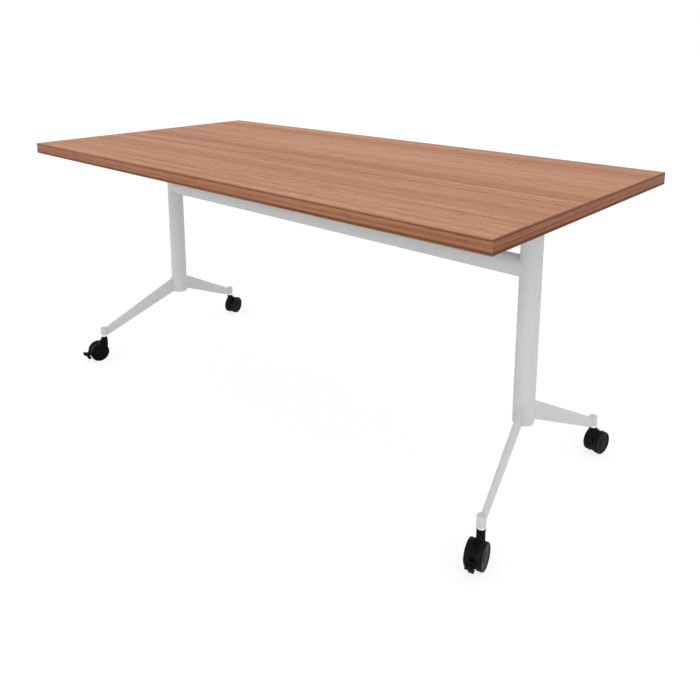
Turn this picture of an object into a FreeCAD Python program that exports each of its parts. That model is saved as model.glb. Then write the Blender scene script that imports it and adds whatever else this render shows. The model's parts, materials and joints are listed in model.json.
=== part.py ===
import FreeCAD, Part
import math
import os

# A rectangular table with a tilting top on two round columns, a round cross beam,
# four splayed arms and four twin-wheel casters. All lengths are in millimetres.
# The origin lies on the floor under the middle of the top: +X along the top's length,
# +Y towards the rear, +Z up. Left is -X and front is -Y.

# Top
TOP_LENGTH = 1600.0
TOP_WIDTH = 800.0
TABLE_HEIGHT = 725.0
TOP_THICKNESS = 30.0
EDGE_STRIP = 2.0
EDGE_ROUND = 0.8

# Round tubes of the frame
COLUMN_DIAMETER = 50.0
COLUMN_WALL = 2.0
END_OVERHANG = 136.0
BEAM_DIAMETER = 50.0
BEAM_WALL = 2.0
BEAM_DROP = 146.0
SPIGOT_LENGTH = 60.0
SPIGOT_WALL = 2.5
SET_SCREW_DIAMETER = 6.0
SET_SCREW_INSET = 20.0
PLUG_FLANGE = 3.0
PLUG_DEPTH = 15.0
PLUG_WALL = 2.5
PLUG_ROUND = 1.2

# Arms and caster sockets
ARM_SPLAY = 57.0
SIDE_OVERHANG = 135.0
ARM_THICKNESS = 8.0
ARM_ROOT_HEIGHT = 48.0
ARM_TIP_HEIGHT = 27.0
ARM_RISE = 102.0
ARM_TIP_DROP = 3.5
ARM_ROUND = 1.0
SOCKET_DIAMETER = 20.0
SOCKET_HEIGHT = 24.5
SOCKET_CROWN = 4.0
SOCKET_ROUND = 2.0
SLEEVE_WALL = 1.0

# Casters
WHEEL_DIAMETER = 58.0
WHEEL_WIDTH = 13.5
WHEEL_GAP = 12.0
WHEEL_ROUND = 2.0
WHEEL_WALL = 4.0
WHEEL_BOSS = 9.0
HUB_CAP_RADIUS = 12.0
FACE_RECESS = 1.0
FACE_MARGIN = 5.0
CASTER_TRAIL = 20.5
NECK_DIAMETER = 19.0
NECK_RISE = 17.0
NECK_FOOT = 24.0
WEB_THICKNESS = 11.0
WEB_MARGIN = 2.0
WHEEL_HOOD_GAP = 1.5
AXLE_DIAMETER = 6.0
AXLE_COVER = 4.0
STEM_DIAMETER = 10.0
STEM_REACH = 15.0
COLLAR_DIAMETER = 17.0
COLLAR_HEIGHT = 5.4
CASTER_TURNS = {"front_left": 256.4, "front_right": 282.9, "rear_right": 80.7, "rear_left": 106.5}

# Brake pedals of the front casters
PEDAL_REACH = 20.0
PEDAL_RISE = 3.5
PEDAL_DIP = 23.5
PEDAL_WIDTH = 19.0
PEDAL_TIP_HEIGHT = 9.0
PEDAL_DISH = 3.0
PEDAL_ROUND = 1.2
PEDAL_LOBE = 11.0
PEDAL_LOBE_WIDTH = 10.4
PEDAL_WAIST = 0.42
PEDAL_HEEL = 0.7
PEDAL_ARM = 4.0
PEDAL_ARM_HEIGHT = 9.0
PEDAL_GAP = 2.0
PEDAL_PIN_DIAMETER = 3.0
PEDAL_PIN_DEPTH = 10.0

# Tilting heads
BRACKET_LENGTH = 320.0
BRACKET_WIDTH = 70.0
BRACKET_PLATE = 4.0
CHEEK_PLATE = 4.0
CHEEK_RADIUS = 20.0
LUG_THICKNESS = 10.0
LUG_MARGIN = 2.0
WASHER_THICKNESS = 1.4
WASHER_DIAMETER = 32.0
PIVOT_DIAMETER = 12.0
BOLT_HEAD_DIAMETER = 20.0
BOLT_HEAD_HEIGHT = 6.0
HEX_KEY = 6.0
HEX_DEPTH = 3.5
HEAD_FLANGE = 4.0
HEAD_SPIGOT = 36.0
TILT_CLEARANCE = 5.0
HEAD_CLEARANCE = 4.0
STOP_REACH = 44.0
STOP_ARM_HEIGHT = 12.0
STOP_NOSE_HEIGHT = 10.0
BUFFER_DIAMETER = 9.0
BUFFER_HEIGHT = 7.7
BUFFER_STEM = 5.0
BUFFER_STEM_LENGTH = 8.0
SCREW_DIAMETER = 5.0
SCREW_LENGTH = 18.0
SCREW_HEAD_DIAMETER = 10.0
SCREW_HEAD_HEIGHT = 3.0
SCREW_EDGE = 20.0
SCREW_SIDE = 9.0

# Clamp levers
LEVER_LENGTH = 78.0
LEVER_HUB_RADIUS = 13.0
LEVER_HUB_WIDTH = 14.0
LEVER_TIP_RADIUS = 6.5
LEVER_WIDTH = 11.0
LEVER_HUB_ROUND = 1.5
LEVER_ROUND = 2.5
LEVER_CLEARANCE = 2.0
SPACER_DIAMETER = 20.0
NUT_DIAMETER = 20.0
NUT_HEIGHT = 6.0
NUT_WALL = 2.0

# Clearances
WELD_GAP = 0.05
PRESS_GAP = 0.03
RUN_GAP = 0.05
PLAY = 0.3
SIDE_PLAY = 0.1
SLIT = 0.2

V = FreeCAD.Vector
X_AXIS = V(1, 0, 0)
Y_AXIS = V(0, 1, 0)
Z_AXIS = V(0, 0, 1)
ORIGIN = V(0, 0, 0)

# Heights and radii that follow from the sizes above
column_radius = COLUMN_DIAMETER / 2
column_bore = column_radius - COLUMN_WALL
beam_radius = BEAM_DIAMETER / 2
beam_bore = beam_radius - BEAM_WALL
column_x = TOP_LENGTH / 2 - END_OVERHANG
stem_x = column_x + ARM_SPLAY
stem_y = TOP_WIDTH / 2 - SIDE_OVERHANG
wheel_radius = WHEEL_DIAMETER / 2
wheel_inner = WHEEL_GAP / 2
wheel_outer = wheel_inner + WHEEL_WIDTH
neck_radius = NECK_DIAMETER / 2
socket_radius = SOCKET_DIAMETER / 2
stem_radius = STEM_DIAMETER / 2
axle_radius = AXLE_DIAMETER / 2
pivot_radius = PIVOT_DIAMETER / 2
caster_height = WHEEL_DIAMETER + NECK_RISE
socket_bottom = caster_height + PLAY + COLLAR_HEIGHT
socket_top = socket_bottom + SOCKET_HEIGHT
socket_bore = stem_radius + SLEEVE_WALL + 2 * PRESS_GAP
arm_tip_bottom = socket_bottom - ARM_TIP_DROP
arm_root_bottom = arm_tip_bottom + ARM_RISE
column_bottom = arm_root_bottom
underside = TABLE_HEIGHT - TOP_THICKNESS
bracket_underside = underside - BRACKET_PLATE
pivot_z = bracket_underside - TILT_CLEARANCE - column_radius
head_flange_top = pivot_z - CHEEK_RADIUS - HEAD_CLEARANCE
column_top = head_flange_top - HEAD_FLANGE
beam_z = underside - BEAM_DROP
lug_half = LUG_THICKNESS / 2
lug_radius = CHEEK_RADIUS + LUG_MARGIN
cheek_inner = lug_half + WASHER_THICKNESS + SIDE_PLAY
cheek_outer = cheek_inner + CHEEK_PLATE
lever_inner = max(column_radius, cheek_outer) + LEVER_CLEARANCE
lever_outer = lever_inner + LEVER_HUB_WIDTH
nut_start = lever_outer + PLAY

SIDES = {"left": -1, "right": 1}
CORNERS = {
    "front_left": (-1, -1),
    "front_right": (1, -1),
    "rear_left": (-1, 1),
    "rear_right": (1, 1),
}


def rod(radius, start, direction, length):
    """A solid cylinder from a start point along a direction."""
    return Part.makeCylinder(radius, length, start, direction)


def ring(outer, inner, start, direction, length):
    """A plain tube from a start point along a direction."""
    return rod(outer, start, direction, length).cut(rod(inner, start, direction, length))


def block(low, high):
    """A box between two opposite corners."""
    size = high - low
    return Part.makeBox(size.x, size.y, size.z, low)


def outline(points, place):
    """A closed face through points; a pair in the list is an arc's middle and end."""
    edges = []
    current = points[0]
    for step in points[1:] + [points[0]]:
        if isinstance(step[0], tuple):
            middle, end = step
            arc = Part.Arc(place(current), place(middle), place(end))
            edges.append(arc.toShape())
            current = end
        elif step != current:
            edges.append(Part.LineSegment(place(current), place(step)).toShape())
            current = step
    return Part.Face(Part.Wire(edges))


def side_plate(points, x_low, x_high):
    """A plate that lies across X, drawn in (y, z)."""
    face = outline(points, lambda p: V(x_low, p[0], p[1]))
    return face.extrude(V(x_high - x_low, 0, 0))


def caster_plate(points, half):
    """A plate across a caster's axle, drawn in (along the trail, up), centred on Y."""
    face = outline(points, lambda p: V(p[0], -half, p[1]))
    return face.extrude(V(0, 2 * half, 0))


def bored(shape, radius, start, direction, length):
    """The shape with a round hole."""
    return shape.cut(rod(radius, start, direction, length))


def rounded(shape, radius, chosen):
    """The shape with the chosen edges rounded."""
    edges = [edge for edge in shape.Edges if chosen(edge)]
    return shape.makeFillet(radius, edges)


def runs_along(edge, direction):
    """True for a straight edge along a direction."""
    if len(edge.Vertexes) != 2:
        return False
    span = edge.Vertexes[1].Point - edge.Vertexes[0].Point
    return span.Length > 0 and abs(span.dot(direction)) > 0.999 * span.Length


# Places of the screws that hold a bracket, as (x, y) from the column's axis
def screw_places():
    """Offsets of one bracket's screws from the column's axis."""
    side = BRACKET_WIDTH / 2 - SCREW_SIDE
    far = BRACKET_LENGTH / 2 - SCREW_EDGE
    return [(sx * side, y) for sx in (-1, 1) for y in (-far, 0.0, far)]


# Top
def board():
    """The board's core, with pilot holes for the bracket screws."""
    half_x = TOP_LENGTH / 2 - EDGE_STRIP
    half_y = TOP_WIDTH / 2 - EDGE_STRIP
    core = block(V(-half_x, -half_y, underside), V(half_x, half_y, TABLE_HEIGHT))
    depth = SCREW_LENGTH + PLAY
    for side in SIDES.values():
        for dx, dy in screw_places():
            start = V(side * column_x + dx, dy, underside)
            core = bored(core, SCREW_DIAMETER / 2 + PRESS_GAP, start, Z_AXIS, depth)
    return core


def long_strip(side):
    """The edge strip along the front or the rear, at full length."""
    y_outer = side * TOP_WIDTH / 2
    y_inner = side * (TOP_WIDTH / 2 - EDGE_STRIP)
    low = V(-TOP_LENGTH / 2, min(y_outer, y_inner), underside)
    high = V(TOP_LENGTH / 2, max(y_outer, y_inner), TABLE_HEIGHT)
    strip = block(low, high)
    return rounded(strip, EDGE_ROUND, lambda e: runs_along(e, X_AXIS)
                   and abs(e.Vertexes[0].Point.y - y_outer) < EDGE_STRIP / 2)


def end_strip(side):
    """The edge strip along the left or right end, between the long strips."""
    x_outer = side * TOP_LENGTH / 2
    x_inner = side * (TOP_LENGTH / 2 - EDGE_STRIP)
    half = TOP_WIDTH / 2 - EDGE_STRIP
    low = V(min(x_outer, x_inner), -half, underside)
    high = V(max(x_outer, x_inner), half, TABLE_HEIGHT)
    strip = block(low, high)
    return rounded(strip, EDGE_ROUND, lambda e: runs_along(e, Y_AXIS)
                   and abs(e.Vertexes[0].Point.x - x_outer) < EDGE_STRIP / 2)


def tilt_bracket(side):
    """Flange under the board with two round-ended cheeks that reach down to the pivot."""
    x = side * column_x
    half_x = BRACKET_WIDTH / 2
    half_y = BRACKET_LENGTH / 2
    low = V(x - half_x, -half_y, bracket_underside)
    flange = block(low, V(x + half_x, half_y, underside))
    flange = rounded(flange, SCREW_SIDE, lambda e: runs_along(e, Z_AXIS))
    for dx, dy in screw_places():
        start = V(x + dx, dy, bracket_underside)
        flange = bored(flange, SCREW_DIAMETER / 2 + PRESS_GAP, start, Z_AXIS, BRACKET_PLATE)
    cheek_outline = [
        (-CHEEK_RADIUS, bracket_underside),
        (-CHEEK_RADIUS, pivot_z),
        ((0.0, pivot_z - CHEEK_RADIUS), (CHEEK_RADIUS, pivot_z)),
        (CHEEK_RADIUS, bracket_underside),
    ]
    for hand in (-1, 1):
        near = x + hand * cheek_inner
        far = x + hand * cheek_outer
        cheek = side_plate(cheek_outline, min(near, far), max(near, far))
        flange = flange.fuse(cheek)
    hole_start = V(x - cheek_outer, 0, pivot_z)
    flange = bored(flange, pivot_radius + PRESS_GAP, hole_start, X_AXIS, 2 * cheek_outer)
    return flange.removeSplitter()


def bracket_screws():
    """Pan-head screws that hold both brackets to the board."""
    solids = []
    for side in SIDES.values():
        for dx, dy in screw_places():
            seat = V(side * column_x + dx, dy, bracket_underside)
            shank = rod(SCREW_DIAMETER / 2, seat, Z_AXIS, BRACKET_PLATE + SCREW_LENGTH)
            head_base = seat - V(0, 0, SCREW_HEAD_HEIGHT)
            head = rod(SCREW_HEAD_DIAMETER / 2, head_base, Z_AXIS, SCREW_HEAD_HEIGHT)
            head = rounded(head, SCREW_HEAD_HEIGHT / 2, lambda e: e.CenterOfMass.z < head_base.z + PLAY
                           and len(e.Vertexes) == 1)
            solids.append(head.fuse(shank).removeSplitter())
    return Part.makeCompound(solids)


def pivot_bolt(side):
    """Bolt through the cheeks and the lug, with its head outside and its thread inside."""
    inward = V(-side, 0, 0)
    axis_point = V(side * column_x, 0, pivot_z)
    seat = axis_point - inward * cheek_outer
    head = rod(BOLT_HEAD_DIAMETER / 2, seat - inward * BOLT_HEAD_HEIGHT, inward, BOLT_HEAD_HEIGHT)
    hexagon = []
    for i in range(6):
        angle = math.radians(60 * i)
        reach = HEX_KEY / math.sqrt(3)
        hexagon.append((reach * math.cos(angle), pivot_z + reach * math.sin(angle)))
    top_x = (seat - inward * BOLT_HEAD_HEIGHT).x
    deep_x = (seat - inward * (BOLT_HEAD_HEIGHT - HEX_DEPTH)).x
    recess = side_plate(hexagon, min(top_x, deep_x), max(top_x, deep_x))
    length = cheek_outer + nut_start + NUT_HEIGHT - NUT_WALL - PLAY
    shank = rod(pivot_radius, seat, inward, length)
    return head.cut(recess).fuse(shank).removeSplitter()


def friction_washers():
    """Washers between the lugs and the cheeks."""
    solids = []
    for side in SIDES.values():
        for hand in (-1, 1):
            start = V(side * column_x + hand * cheek_inner, 0, pivot_z)
            toward_lug = V(-hand, 0, 0)
            washer = ring(WASHER_DIAMETER / 2, pivot_radius + PRESS_GAP, start, toward_lug, WASHER_THICKNESS)
            solids.append(washer)
    return Part.makeCompound(solids)


def lever_spacers():
    """Sleeves that carry the levers clear of the columns."""
    solids = []
    for side in SIDES.values():
        inward = V(-side, 0, 0)
        start = V(side * column_x, 0, pivot_z) + inward * cheek_outer
        length = lever_inner - PLAY - cheek_outer
        solids.append(ring(SPACER_DIAMETER / 2, pivot_radius + PRESS_GAP, start, inward, length))
    return Part.makeCompound(solids)


def pivot_nuts():
    """Closed nuts on the inner ends of the pivot bolts."""
    solids = []
    for side in SIDES.values():
        inward = V(-side, 0, 0)
        start = V(side * column_x, 0, pivot_z) + inward * nut_start
        nut = rod(NUT_DIAMETER / 2, start, inward, NUT_HEIGHT)
        end_x = (start + inward * NUT_HEIGHT).x
        nut = rounded(nut, NUT_WALL / 2, lambda e: len(e.Vertexes) == 1
                      and abs(e.CenterOfMass.x - end_x) < PLAY)
        solids.append(bored(nut, pivot_radius + PRESS_GAP, start, inward, NUT_HEIGHT - NUT_WALL))
    return Part.makeCompound(solids)


def clamp_lever(side):
    """Clamp lever that turns on the pivot bolt and points to the front."""
    inward = V(-side, 0, 0)
    hub_start = V(side * column_x, 0, pivot_z) + inward * lever_inner
    hub = rod(LEVER_HUB_RADIUS, hub_start, inward, LEVER_HUB_WIDTH)
    hub = rounded(hub, LEVER_HUB_ROUND, lambda e: len(e.Vertexes) == 1)
    arm_near = (hub_start + inward * (LEVER_HUB_WIDTH - LEVER_WIDTH) / 2).x
    arm_far = (hub_start + inward * (LEVER_HUB_WIDTH + LEVER_WIDTH) / 2).x
    tip_y = -(LEVER_LENGTH - LEVER_TIP_RADIUS)
    slope = math.asin((LEVER_HUB_RADIUS - LEVER_TIP_RADIUS) / abs(tip_y))
    sine = math.sin(slope)
    cosine = math.cos(slope)
    hub_point = (-LEVER_HUB_RADIUS * sine, LEVER_HUB_RADIUS * cosine)
    tip_point = (tip_y - LEVER_TIP_RADIUS * sine, LEVER_TIP_RADIUS * cosine)
    points = [
        (hub_point[0], pivot_z + hub_point[1]),
        (tip_point[0], pivot_z + tip_point[1]),
        ((tip_y - LEVER_TIP_RADIUS, pivot_z), (tip_point[0], pivot_z - tip_point[1])),
        (hub_point[0], pivot_z - hub_point[1]),
    ]
    arm = side_plate(points, min(arm_near, arm_far), max(arm_near, arm_far))
    arm = rounded(arm, LEVER_ROUND, lambda e: min(abs(e.CenterOfMass.x - arm_near),
                                                  abs(e.CenterOfMass.x - arm_far)) < PLAY)
    lever = hub.fuse(arm).removeSplitter()
    return bored(lever, pivot_radius + RUN_GAP, hub_start, inward, LEVER_HUB_WIDTH)


# Frame
def column(side):
    """A round column tube, open at both ends."""
    foot = V(side * column_x, 0, column_bottom + PLUG_FLANGE)
    return ring(column_radius, column_bore, foot, Z_AXIS, column_top - column_bottom - PLUG_FLANGE)


def column_plug(side):
    """Plug that closes a column's lower end."""
    foot = V(side * column_x, 0, column_bottom)
    flange = rod(column_radius, foot, Z_AXIS, PLUG_FLANGE)
    flange = rounded(flange, PLUG_ROUND, lambda e: len(e.Vertexes) == 1
                     and e.CenterOfMass.z < column_bottom + PLAY)
    neck = foot + V(0, 0, PLUG_FLANGE)
    skirt = ring(column_bore - PRESS_GAP, column_bore - PRESS_GAP - PLUG_WALL, neck, Z_AXIS, PLUG_DEPTH)
    return flange.fuse(skirt).removeSplitter()


def column_head(side):
    """Head with a spigot in the column, a pivot lug, a front stop arm and a rear stop nose."""
    x = side * column_x
    spigot = rod(column_bore - PRESS_GAP, V(x, 0, column_top - HEAD_SPIGOT), Z_AXIS, HEAD_SPIGOT)
    flange = rod(column_radius, V(x, 0, column_top), Z_AXIS, HEAD_FLANGE)
    foot = [
        (-lug_radius, head_flange_top),
        (lug_radius, head_flange_top),
        (lug_radius, pivot_z),
        ((0.0, pivot_z + lug_radius), (-lug_radius, pivot_z)),
    ]
    lug = side_plate(foot, x - lug_half, x + lug_half)
    arm_top = bracket_underside - PLAY - BUFFER_HEIGHT
    arm_low = arm_top - STOP_ARM_HEIGHT
    arm_end = -(STOP_REACH + BUFFER_DIAMETER / 2 + LUG_MARGIN)
    arm = side_plate([
        (0.0, arm_top),
        (arm_end, arm_top),
        (arm_end, arm_low),
        (-lug_radius, pivot_z - lug_radius / 2),
        (0.0, pivot_z - lug_radius / 2),
    ], x - lug_half, x + lug_half)
    nose_reach = bracket_underside - pivot_z - PLAY
    nose_top = pivot_z - LUG_MARGIN
    nose = block(V(x - lug_half, 0, nose_top - STOP_NOSE_HEIGHT), V(x + lug_half, nose_reach, nose_top))
    head = spigot.fuse([flange, lug, arm, nose]).removeSplitter()
    head = bored(head, pivot_radius + RUN_GAP, V(x - lug_half, 0, pivot_z), X_AXIS, LUG_THICKNESS)
    stem_base = V(x, -STOP_REACH, arm_top - BUFFER_STEM_LENGTH - PLAY)
    return bored(head, BUFFER_STEM / 2 + PRESS_GAP, stem_base, Z_AXIS, BUFFER_STEM_LENGTH + PLAY)


def stop_buffers():
    """Rubber buffers that carry the brackets when the top lies flat."""
    seat = bracket_underside - PLAY - BUFFER_HEIGHT
    solids = []
    for side in SIDES.values():
        foot = V(side * column_x, -STOP_REACH, seat)
        pad = rod(BUFFER_DIAMETER / 2, foot, Z_AXIS, BUFFER_HEIGHT)
        pad = rounded(pad, PLUG_ROUND, lambda e: len(e.Vertexes) == 1 and e.CenterOfMass.z > seat + PLAY)
        stem = rod(BUFFER_STEM / 2, foot - V(0, 0, BUFFER_STEM_LENGTH), Z_AXIS, BUFFER_STEM_LENGTH)
        solids.append(pad.fuse(stem).removeSplitter())
    return Part.makeCompound(solids)


def set_screw_places():
    """Points under the beam where set screws hold it to its spigots."""
    reach = column_x - column_radius - SPIGOT_LENGTH + SET_SCREW_INSET
    return [V(side * reach, 0, beam_z - beam_radius) for side in SIDES.values()]


def set_screw_depth():
    """Depth from the beam's outside to the spigot's inside."""
    return BEAM_WALL + PRESS_GAP + SPIGOT_WALL


def column_cutters():
    """Column outsides with a weld gap, for saddle cuts."""
    cutters = []
    for side in SIDES.values():
        foot = V(side * column_x, 0, column_bottom)
        cutters.append(rod(column_radius + WELD_GAP, foot, Z_AXIS, column_top - column_bottom))
    return cutters


def cross_beam():
    """Round beam between the columns, with saddle-cut ends."""
    start = V(-column_x, 0, beam_z)
    beam = ring(beam_radius, beam_bore, start, X_AXIS, 2 * column_x).cut(column_cutters())
    for place in set_screw_places():
        beam = bored(beam, SET_SCREW_DIAMETER / 2 + PRESS_GAP, place, Z_AXIS, BEAM_WALL + beam_bore / 2)
    return beam


def beam_spigot(side):
    """Stub tube on a column's side that the beam slides over."""
    inward = V(-side, 0, 0)
    outer = beam_bore - PRESS_GAP
    start = V(side * column_x, 0, beam_z)
    stub = ring(outer, outer - SPIGOT_WALL, start, inward, column_radius + SPIGOT_LENGTH)
    stub = stub.cut(column_cutters())
    for place in set_screw_places():
        if place.x * side > 0:
            stub = bored(stub, SET_SCREW_DIAMETER / 2 + PRESS_GAP, place, Z_AXIS, BEAM_WALL + beam_bore / 2)
    return stub


def beam_set_screws():
    """Flush set screws under the beam, with a socket for a key."""
    solids = []
    depth = set_screw_depth()
    for place in set_screw_places():
        rise = beam_radius - math.sqrt(beam_radius ** 2 - (SET_SCREW_DIAMETER / 2) ** 2)
        foot = place + V(0, 0, rise)
        screw = rod(SET_SCREW_DIAMETER / 2, foot, Z_AXIS, depth)
        solids.append(bored(screw, SET_SCREW_DIAMETER / 4, foot, Z_AXIS, depth / 2))
    return Part.makeCompound(solids)


def arm(corner):
    """A tapered plate from a column down to a caster socket."""
    sx, sy = CORNERS[corner]
    root = V(sx * column_x, 0, 0)
    tip = V(sx * stem_x, sy * stem_y, 0)
    run = (tip - root).Length
    along = (tip - root) * (1 / run)
    across = V(-along.y, along.x, 0) * (ARM_THICKNESS / 2)
    near = column_radius
    far = run - socket_radius
    low_slope = (arm_tip_bottom - arm_root_bottom) / (far - near)
    tip_top = arm_tip_bottom + ARM_TIP_HEIGHT
    root_top = arm_root_bottom + ARM_ROOT_HEIGHT
    high_slope = (tip_top - root_top) / (far - near)

    def corner_point(distance, level):
        return root + along * distance + V(0, 0, level) - across

    points = [
        corner_point(0, arm_root_bottom - low_slope * near),
        corner_point(run, arm_tip_bottom + low_slope * socket_radius),
        corner_point(run, tip_top + high_slope * socket_radius),
        corner_point(0, root_top - high_slope * near),
    ]
    plate = Part.Face(Part.makePolygon(points + [points[0]])).extrude(across * 2)
    long_edge = run / 2
    plate = rounded(plate, ARM_ROUND, lambda e: e.Length > long_edge)
    column_side = rod(column_radius + WELD_GAP, root, Z_AXIS, TABLE_HEIGHT)
    socket_side = rod(socket_radius + WELD_GAP, tip, Z_AXIS, TABLE_HEIGHT)
    return plate.cut([column_side, socket_side])


def caster_socket(corner):
    """Closed socket at an arm's tip that takes a caster stem."""
    sx, sy = CORNERS[corner]
    foot = V(sx * stem_x, sy * stem_y, socket_bottom)
    socket = rod(socket_radius, foot, Z_AXIS, SOCKET_HEIGHT)
    socket = rounded(socket, SOCKET_ROUND, lambda e: len(e.Vertexes) == 1
                     and e.CenterOfMass.z > socket_bottom + PLAY)
    return bored(socket, socket_bore, foot, Z_AXIS, SOCKET_HEIGHT - SOCKET_CROWN)


def stem_sleeves():
    """Grip sleeves that hold the caster stems in their sockets."""
    solids = []
    for sx, sy in CORNERS.values():
        foot = V(sx * stem_x, sy * stem_y, socket_bottom)
        length = SOCKET_HEIGHT - SOCKET_CROWN - PLAY
        inner = stem_radius + PRESS_GAP
        solids.append(ring(inner + SLEEVE_WALL, inner, foot, Z_AXIS, length))
    return Part.makeCompound(solids)


def caster_stem(corner):
    """Stem with a collar, held in the socket and reaching into the caster's neck."""
    sx, sy = CORNERS[corner]
    axis = V(sx * stem_x, sy * stem_y, 0)
    low = caster_height - STEM_REACH
    high = socket_top - SOCKET_CROWN - PLAY
    shaft = rod(stem_radius, axis + V(0, 0, low), Z_AXIS, high - low)
    collar = rod(COLLAR_DIAMETER / 2, axis + V(0, 0, caster_height + PLAY), Z_AXIS, COLLAR_HEIGHT)
    return shaft.fuse(collar).removeSplitter()


# Casters, built with the stem on the Z axis and the wheels trailing along +X
def placed(shape, corner):
    """The caster piece turned and moved to its corner."""
    sx, sy = CORNERS[corner]
    moved = shape.copy()
    moved.rotate(ORIGIN, Z_AXIS, CASTER_TURNS[corner])
    moved.translate(V(sx * stem_x, sy * stem_y, 0))
    return moved


def wheel_rooms():
    """Space that the two wheels sweep, with the hood gap."""
    rooms = []
    for hand in (-1, 1):
        start = V(CASTER_TRAIL, hand * WEB_THICKNESS / 2, wheel_radius)
        rooms.append(rod(wheel_radius + WHEEL_HOOD_GAP, start, V(0, hand, 0), WHEEL_WIDTH + WHEEL_GAP))
    return rooms


def pedal_pivot():
    """Centre of the pedal's pin, in the caster's own plane."""
    return (CASTER_TRAIL + wheel_radius - PEDAL_PIN_DEPTH, wheel_radius - PEDAL_PIN_DIAMETER / 2)


def caster_housing(braked):
    """Neck and centre web of a caster, with a slot for the pedal on a braked one."""
    neck_low = caster_height - NECK_RISE - NECK_FOOT / 2
    neck = rod(neck_radius, V(0, 0, neck_low), Z_AXIS, caster_height - neck_low)
    half = WEB_THICKNESS / 2
    web_radius = wheel_radius - WEB_MARGIN
    hub_start = V(CASTER_TRAIL, -half, wheel_radius)
    web = rod(web_radius, hub_start, Y_AXIS, WEB_THICKNESS)
    bridge = caster_plate([
        (-neck_radius, neck_low),
        (CASTER_TRAIL - web_radius, wheel_radius),
        (CASTER_TRAIL, wheel_radius),
        (CASTER_TRAIL, wheel_radius + web_radius),
        (neck_radius, caster_height - NECK_RISE / 2),
        (-neck_radius, caster_height - NECK_RISE / 2),
    ], half)
    housing = neck.fuse([web, bridge]).cut(wheel_rooms()).removeSplitter()
    housing = bored(housing, axle_radius + PRESS_GAP, hub_start, Y_AXIS, WEB_THICKNESS)
    stem_base = V(0, 0, caster_height - STEM_REACH - PLAY)
    housing = bored(housing, stem_radius + RUN_GAP, stem_base, Z_AXIS, STEM_REACH + PLAY)
    if braked:
        px, pz = pedal_pivot()
        slot_half = PEDAL_ARM / 2 + SLIT
        reach = PEDAL_ARM_HEIGHT + PLAY
        slot = block(V(px - PEDAL_ARM_HEIGHT / 2 - PLAY, -slot_half, pz - reach),
                     V(px + wheel_radius, slot_half, pz + reach))
        housing = housing.cut(slot)
        housing = bored(housing, PEDAL_PIN_DIAMETER / 2 + PRESS_GAP, V(px, -half, pz), Y_AXIS, WEB_THICKNESS)
    return housing


def wheel_axle():
    """Axle that carries both wheels of a caster."""
    reach = wheel_outer - AXLE_COVER
    return rod(axle_radius, V(CASTER_TRAIL, -reach, wheel_radius), Y_AXIS, 2 * reach)


def wheel(hand):
    """One wheel, with a hollow inner side, a blind axle bore and a recessed outer face."""
    rim = wheel_radius
    inner = wheel_inner
    outer = wheel_outer
    recess_radius = rim - FACE_MARGIN
    bore = axle_radius + RUN_GAP
    bore_end = outer - AXLE_COVER + PLAY
    pocket = outer - FACE_RECESS - WHEEL_WALL
    soft = WHEEL_ROUND * (1 - math.sqrt(0.5))
    points = [
        (bore, inner),
        (WHEEL_BOSS, inner),
        (WHEEL_BOSS, pocket),
        (rim - WHEEL_WALL, pocket),
        (rim - WHEEL_WALL, inner),
        (rim - WHEEL_ROUND, inner),
        ((rim - soft, inner + soft), (rim, inner + WHEEL_ROUND)),
        (rim, outer - WHEEL_ROUND),
        ((rim - soft, outer - soft), (rim - WHEEL_ROUND, outer)),
        (recess_radius, outer),
        (recess_radius - FACE_RECESS, outer - FACE_RECESS),
        (HUB_CAP_RADIUS, outer - FACE_RECESS),
        (HUB_CAP_RADIUS - FACE_RECESS, outer),
        (0.0, outer),
        (0.0, bore_end),
        (bore, bore_end),
    ]
    face = outline(points, lambda p: V(CASTER_TRAIL + p[0], hand * p[1], wheel_radius))
    return face.revolve(V(CASTER_TRAIL, 0, wheel_radius), Y_AXIS, 360)


def on_sides(edge, half):
    """True for an edge that lies in one of two planes across Y."""
    return abs(abs(edge.CenterOfMass.y) - half) < WELD_GAP


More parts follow.
